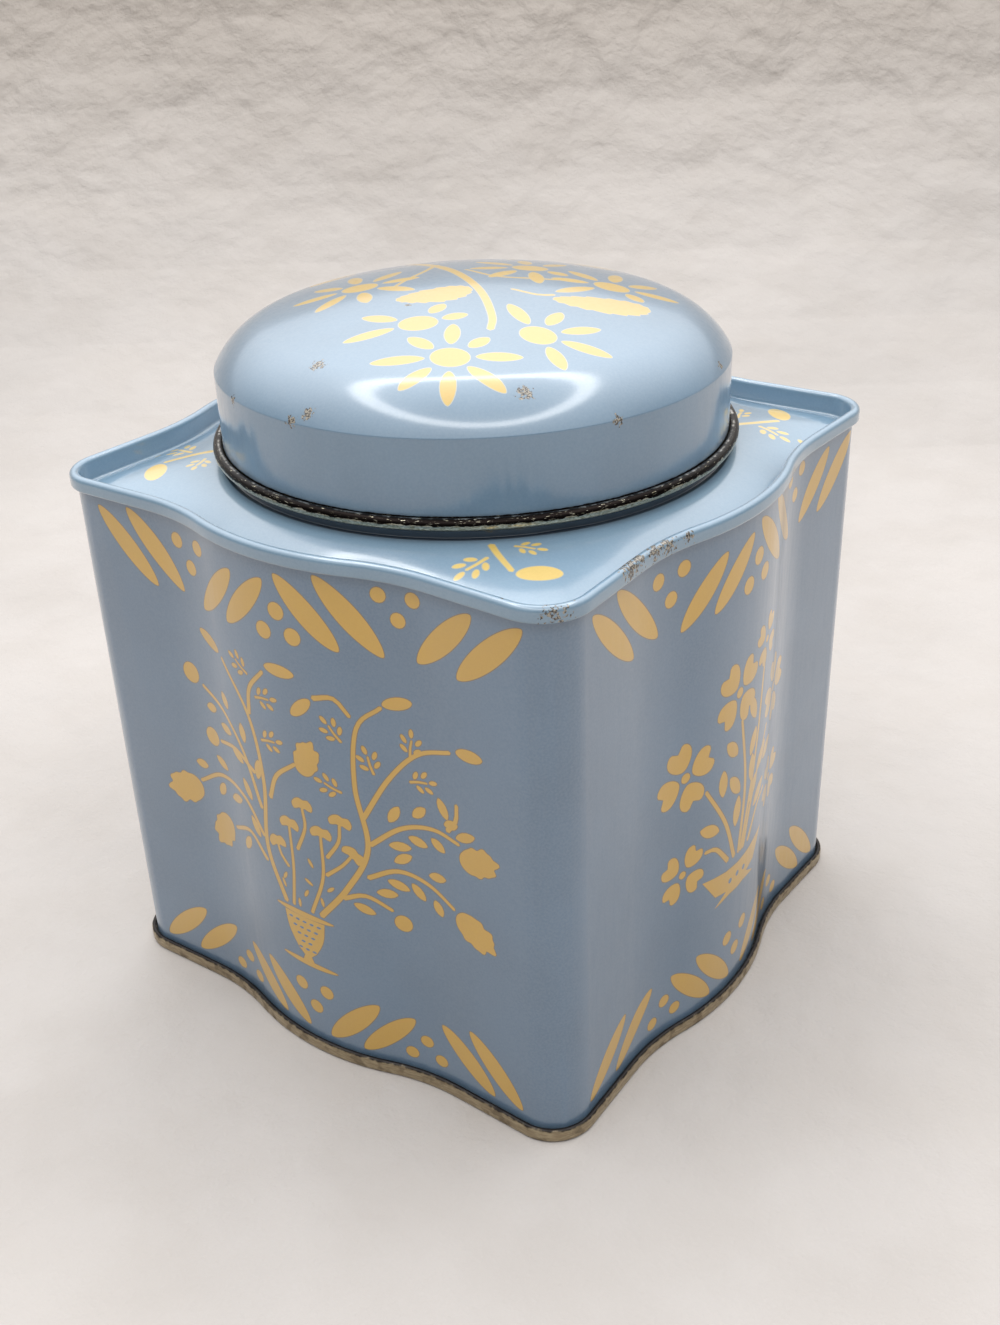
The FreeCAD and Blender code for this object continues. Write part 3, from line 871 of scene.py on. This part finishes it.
neck_ring = make_neck_ring()
paint = Paint("bare tinplate")
brushed = paint.noise(1.5, 4.0, stretch=(0.4, 0.4, 7))
colour = paint.mix(paint.step(brushed, 0.3, 0.75), rgb(168, 166, 160), rgb(206, 205, 200))
stain = paint.step(paint.noise(0.12, 5.0), 0.52, 0.7)
colour = paint.mix(paint.count("MULTIPLY", stain, 0.5), colour, rgb(122, 104, 84))
roughness = paint.blend(paint.step(brushed, 0.3, 0.8), 0.24, 0.42)
paint.finish(neck_ring, colour, roughness, paint.bump(brushed, 0.004), metal=1.0)
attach(neck_ring, "tin")
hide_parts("neck_ring")

# ---------------------------------------------------------------------------------------- lid
# One drawn cap, enamelled and printed flat before drawing: dome, rounded shoulder, straight
# skirt, and a curl rolled outward where the enamel has worn off down to bare metal, dark on its upper
# part and pale below.

lid_path = follow((0, LID_TOP - SHEET / 2), 0, [
    (DOME_RADIUS, -DOME_ANGLE), (LID_BEND, DOME_ANGLE + CREASE_ANGLE - 90),
    (CREASE_BEND, -CREASE_ANGLE), SKIRT_TOP - CURL_LEVEL, (BEAD_RADIUS - SHEET / 2, 300)], slack=0.004)
lid_loop = sheet_loop(lid_path)
bend_end = int(np.argmax(lid_path[:, 2] < math.radians(-89.99)))
lid_top = lid_loop[:bend_end + 1]
lid_reach = np.r_[0, np.cumsum(np.linalg.norm(np.diff(lid_top, axis=0), axis=1))]


def on_lid(flat):
    """Points of the lid's outside, and the way that it faces, for points on the flattened disc."""
    reach = np.hypot(flat[:, 0], flat[:, 1])
    across = flat / np.maximum(reach, 1e-9)[:, None]
    out = np.interp(reach, lid_reach, lid_top[:, 0])
    up = np.interp(reach, lid_reach, lid_top[:, 1])
    tip = -np.interp(reach, lid_reach, lid_path[:bend_end + 1, 2])
    return np.c_[across * out[:, None], up], np.c_[across * np.sin(tip)[:, None], np.cos(tip)]


# Places on the flattened disc: x, y and turn of each flower, points of the stalk, and x, y,
# length, width and turn of each leaf.
DAISIES = [(18.6, -31.3, 12), (5.3, -23.5, 30), (26.9, -15.4, -10), (-20.6, -9.8, 25), (21.7, 18.4, 5),
           (2.0, 18.0, 20), (-35, 22, 0), (-18, 39, 15)]
STALK = [(-32, 18.5), (-20.8, 12.7), (-7.8, 5.4), (5.4, -4.1), (15.3, -13.8), (18.6, -18.8)]
LEAVES = [(-0.6, -10.6, 15, 8.4, 50), (27.4, 5.9, 19, 8.2, 38), (-41, 4.5, 15, 7.5, 100),
          (2, 41, 16, 8, 10)]


def axis_points(x, y, turn, near, far, half_width):
    """Points along a petal or leaf from near to far of its foot, each with the room that it takes."""
    reach = np.linspace(near, far, 5)
    turn = math.radians(turn)
    return np.c_[x + reach * math.cos(turn), y + reach * math.sin(turn), np.full(5, half_width)]


def lay_daisies():
    """Oval centres with slim petals, each as long as its neighbours leave room for."""
    shapes = []
    stalk = curve_through(STALK)[0]
    taken = [np.c_[stalk, np.full(len(stalk), 1.0)]]
    taken += [axis_points(x, y, turn, -0.45 * length, 0.45 * length, 0.36 * width)
              for x, y, length, width, turn in LEAVES]
    for x, y, angle in DAISIES:
        shapes.append(petal(x, y, 7.4, 6.2, angle, point=0.0))
        others = [[(a, b, 3.6)] for a, b, _ in DAISIES if (a, b) != (x, y)]
        for k in range(8):
            turn = angle + 22 + 45 * k
            for reach in (13.4 + 1.2 * math.sin(2.1 * k + x), 11.4, 9.6):
                axis = axis_points(x, y, turn, 5.6, reach, 1.2)
                laid = np.vstack(taken + others)
                apart = np.linalg.norm(axis[:, None, :2] - laid[None, :, :2], axis=2) - laid[:, 2]
                if apart.min() > 1.9:
                    middle = (4.7 + reach) / 2
                    way = math.radians(turn)
                    shapes.append(petal(x + middle * math.cos(way), y + middle * math.sin(way),
                                        reach - 4.7, 2.9, turn, point=0.3))
                    taken.append(axis)
                    break
    return shapes


def toothed_leaf(x, y, length, width, angle):
    """A broad leaf with a toothed edge."""
    t = np.linspace(0, 2 * np.pi, 72, endpoint=False)
    tooth = 1 + 0.09 * (((t * 17 / np.pi) % 2) - 1) * np.abs(np.sin(t))
    along = length / 2 * np.cos(t) * tooth
    across = width / 2 * np.sin(t) * (1 + 0.25 * np.cos(t)) * tooth + 0.12 * width * np.cos(t) ** 2
    return placed(np.c_[along, across], x, y, angle)


def make_lid():
    shapes = lay_daisies() + [toothed_leaf(*leaf) for leaf in LEAVES]
    shapes.append(stem(STALK, 2.1, 1.3))
    shapes.append(stem([(-7.5, 8.5), (2, 6.2), (10, 10.6), (14.5, 14.8)], 0.6, 0.9))
    shapes.append(stem([(-18, 12.4), (-15, 4.4), (-13.6, -3), (-12.6, -8)], 0.9, 0.6))
    shapes.append(stem([(10, 0.2), (15.6, 0.6), (18, 2.8)], 0.6, 0.9))
    count = len(ROUND)
    reaches = lid_reach[1:]
    rings = [np.c_[np.cos(ROUND), np.sin(ROUND)] * reach for reach in reaches]
    base = np.vstack([[(0, 0)]] + rings)
    lines = []
    for k in range(len(rings)):
        if reaches[k] > 38 or k % 3 == 2:
            lines += [(1 + k * count + j, 1 + k * count + (j + 1) % count) for j in range(count)]
    used = sorted({0} | {p for line in lines for p in line})
    renamed = {old: new for new, old in enumerate(used)}
    base = base[used]
    lines = [(renamed[a], renamed[b]) for a, b in lines]
    flat, triangles, ink = cut_print(base, lines, shapes)
    top, direction = on_lid(flat)
    rest = lid_loop[bend_end:]
    below = turned_strip(rest, ROUND)
    faces = grid_faces(count, len(rest), True, False)
    inward = np.arange(len(rest) - 1) >= len(lid_path) - bend_end
    inks = np.r_[np.tile(INSIDE * inward, count), ink]
    faces += (triangles + count * len(rest)).tolist()
    points = np.vstack([below.reshape(-1, 3), top])
    facing = np.vstack([np.zeros((count * len(rest), 3)), direction])
    return make_piece("lid_printed", points, faces, inks, facing)


lid = make_lid()
paint = Paint("lid enamel")
worn_places = [((-3.2, -42.9), 1.3), ((35.5, -31.9), 1.3), ((1.2, -53.4), 1.1), ((-2.1, -55.3), 1.0),
               ((-22.2, -51.5), 0.8), ((50.9, -22.5), 0.9), ((-2.1, -17.2), 0.6), ((52.6, 12.6), 0.8),
               ((-30, 48), 1.0)]
spots = [(on_lid(np.array([place], float))[0][0], size) for place, size in worn_places]
chips = paint.patches([(tuple(float(c) for c in point), size) for point, size in spots], ragged=0.7)
colour, roughness, relief, metallic = printed_enamel(
    paint, rgb(110, 137, 159), rgb(208, 175, 88), rgb(170, 172, 160), chips)
ragged = paint.count("SUBTRACT", paint.noise(0.9, 5.0), 0.5)
level = paint.count("MULTIPLY_ADD", ragged, 0.35, paint.height())
metal = paint.step(level, CURL_LEVEL + 1.22, CURL_LEVEL + 1.12)
tin = paint.mix(paint.step(paint.noise(1.6, 3.0, stretch=(1, 1, 4)), 0.35, 0.65),
                rgb(146, 138, 112), rgb(210, 205, 186))
# The bare curl is made dark above a ragged height and pale below it.
ragged = paint.count("SUBTRACT", paint.noise(0.45, 6.0), 0.5)
level = paint.count("MULTIPLY_ADD", ragged, 1.5, paint.height())
dark = paint.step(level, CURL_LEVEL + 0.10, CURL_LEVEL + 0.20)
scratched = paint.step(paint.noise(0.9, 6.0, stretch=(1, 1, 9)), 0.62, 0.70)
dark = paint.count("MULTIPLY", dark, paint.count("SUBTRACT", 1.0, scratched))
tin = paint.mix(dark, tin, rgb(20, 14, 12))
colour = paint.mix(metal, colour, tin)
roughness = paint.blend(metal, roughness, 0.30)
worn_metal = paint.count("MULTIPLY", metal, paint.blend(dark, 0.85, 0.2))
metallic = paint.count("MAXIMUM", metallic, worn_metal)
varnish = paint.count("SUBTRACT", 1.0, metal)
paint.finish(lid, colour, roughness, relief, metal=metallic, coat=varnish, coat_roughness=0.13)
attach(lid, "lid")
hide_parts("lid")

# -------------------------------------------------------------------------- floor and backdrop
# A length of off-white cotton cloth, laid flat under the tin and swept up behind it, with the
# soft creases of its folding.

VIEW_TURN = math.radians(36.67)
VIEW_TILT = math.radians(28.71)
CLOTH_NEAR = 2600               # how far the cloth runs toward the camera from the tin's axis
CLOTH_FAR = 230                 # and away from it before it turns up
CLOTH_BEND = (420, 58)
CLOTH_RISE = 170
CLOTH_HALF_WIDTH = 3000


def make_cloth():
    """A profile laid away from the camera, wide enough to fill the view."""
    path = follow((-CLOTH_NEAR, 0), 0, [CLOTH_NEAR + CLOTH_FAR, CLOTH_BEND, CLOTH_RISE], slack=1.0)
    along = np.unique(np.concatenate([np.linspace(a, b, 40) for a, b in zip(path[:-1, 3], path[1:, 3])]))
    out, up = np.interp(along, path[:, 3], path[:, 0]), np.interp(along, path[:, 3], path[:, 1])
    across = np.linspace(-CLOTH_HALF_WIDTH, CLOTH_HALF_WIDTH, 61)
    away = np.array([-math.sin(VIEW_TURN), math.cos(VIEW_TURN)])
    beside = np.array([math.cos(VIEW_TURN), math.sin(VIEW_TURN)])
    flat = out[:, None, None] * away + across[None, :, None] * beside
    points = np.dstack([flat, np.broadcast_to(up[:, None], flat.shape[:2])]).reshape(-1, 3)
    mesh = bpy.data.meshes.new("cloth")
    mesh.from_pydata((points * MM).tolist(), [], grid_faces(len(along), len(across), False, False))
    mesh.shade_smooth()
    piece = bpy.data.objects.new("cloth", mesh)
    bpy.context.scene.collection.objects.link(piece)
    return piece


cloth = make_cloth()
paint = Paint("cotton")
drift = paint.step(paint.noise(0.006, 4.0), 0.3, 0.7)
colour = paint.mix(drift, rgb(184, 179, 175), rgb(193, 188, 184))
mottle = paint.step(paint.noise(0.03, 7.0), 0.38, 0.66)
colour = paint.mix(paint.count("MULTIPLY", mottle, 0.22), colour, rgb(174, 167, 160))
# The cloth is painted darker as it rises up the sweep behind the tin: painted shade.
colour = paint.mix(paint.step(paint.height(), 5, 240), colour, rgb(167, 158, 149))
upright = paint.blend(paint.step(paint.height(), 0, 160), 0.3, 1.0)
folds = paint.bump(paint.count("MULTIPLY", upright, paint.noise(0.016, 3.0)), 13.0)
creases = paint.count("MULTIPLY", upright, paint.noise(0.042, 8.0, shift=(40, 0, 9)))
creases = paint.bump(creases, 7.0, folds)
weave = paint.bump(paint.noise(1.1, 3.0), 0.12, creases)
paint.finish(cloth, colour, 0.95, weave)

# ------------------------------------------------------------------------------------- lights
# A large oval ring lamp overhead, built of flat panels that face down. The room beyond it is
# dark at the floor and pale toward the ceiling, most of all behind the tin.

RING_MIDDLE = Vector((0.05, -0.035, 1.0))
RING_LONG = Vector((-0.756, 0.654, 0)) * 0.576
RING_SHORT = Vector((0.654, 0.756, 0)) * 0.462
RING_PANELS = 30
PANEL_SIZE = (0.115, 0.12)      # metres, along the ring and across it
PANEL_POWER = 0.23              # watts
for k in range(RING_PANELS):
    turn = 2 * math.pi * k / RING_PANELS
    along = RING_SHORT * math.cos(turn) - RING_LONG * math.sin(turn)
    light = bpy.data.lights.new(f"ring_{k}", "AREA")
    light.shape = "RECTANGLE"
    light.size, light.size_y = PANEL_SIZE
    light.energy = PANEL_POWER
    light.color = (1.0, 0.985, 0.965)
    lamp = bpy.data.objects.new(f"ring_{k}", light)
    lamp.location = RING_MIDDLE + RING_LONG * math.cos(turn) + RING_SHORT * math.sin(turn)
    lamp.rotation_euler = (0, 0, math.atan2(along.y, along.x))
    bpy.context.scene.collection.objects.link(lamp)

world = bpy.data.worlds.new("room")
world.use_nodes = True
room, sky = world.node_tree, world.node_tree.nodes["Background"]
place = room.nodes.new("ShaderNodeTexCoord")
apart = room.nodes.new("ShaderNodeSeparateXYZ")
behind = room.nodes.new("ShaderNodeVectorMath")
behind.operation = "DOT_PRODUCT"
behind.inputs[1].default_value = (-0.48, 0.65, 0.59)
room.links.new(place.outputs["Generated"], apart.inputs[0])
room.links.new(place.outputs["Generated"], behind.inputs[0])
total = room.nodes.new("ShaderNodeMath")
for k, (source, low, high, least, most) in enumerate([
        (apart.outputs["Z"], 0.22, 0.82, 0.09, 1.34), (behind.outputs["Value"], 0.18, 0.90, 0.0, 1.0)]):
    rise = room.nodes.new("ShaderNodeMapRange")
    rise.interpolation_type = "SMOOTHSTEP"
    for name, value in (("From Min", low), ("From Max", high), ("To Min", least), ("To Max", most)):
        rise.inputs[name].default_value = value
    room.links.new(source, rise.inputs["Value"])
    room.links.new(rise.outputs[0], total.inputs[k])
room.links.new(total.outputs[0], sky.inputs["Strength"])
sky.inputs["Color"].default_value = rgb(249, 249, 250)
bpy.context.scene.world = world
bpy.context.scene.view_settings.view_transform = "Standard"

# ------------------------------------------------------------------------------------- camera
# Held above the front corner of the tin and looking down at it, tipped a little to one side.

CAMERA_PLACE = Vector((176.65, -231.94, 223.48)) * MM
CAMERA_ROLL = math.radians(-2.08)
FOCAL_LENGTH = 39.92            # for a sensor 36 mm wide
back = Vector((math.sin(VIEW_TURN) * math.cos(VIEW_TILT), -math.cos(VIEW_TURN) * math.cos(VIEW_TILT),
               math.sin(VIEW_TILT)))
level_right = Vector((math.cos(VIEW_TURN), math.sin(VIEW_TURN), 0))
level_up = back.cross(level_right)
right = level_right * math.cos(CAMERA_ROLL) + level_up * math.sin(CAMERA_ROLL)
up = back.cross(right)
lens = bpy.data.cameras.new("camera")
lens.sensor_width = 36.0
lens.lens = FOCAL_LENGTH
lens.clip_start = 0.01
camera = bpy.data.objects.new("camera", lens)
camera.matrix_world = Matrix([
    (right.x, up.x, back.x, CAMERA_PLACE.x), (right.y, up.y, back.y, CAMERA_PLACE.y),
    (right.z, up.z, back.z, CAMERA_PLACE.z), (0, 0, 0, 1)])
bpy.context.scene.collection.objects.link(camera)
bpy.context.scene.camera = camera
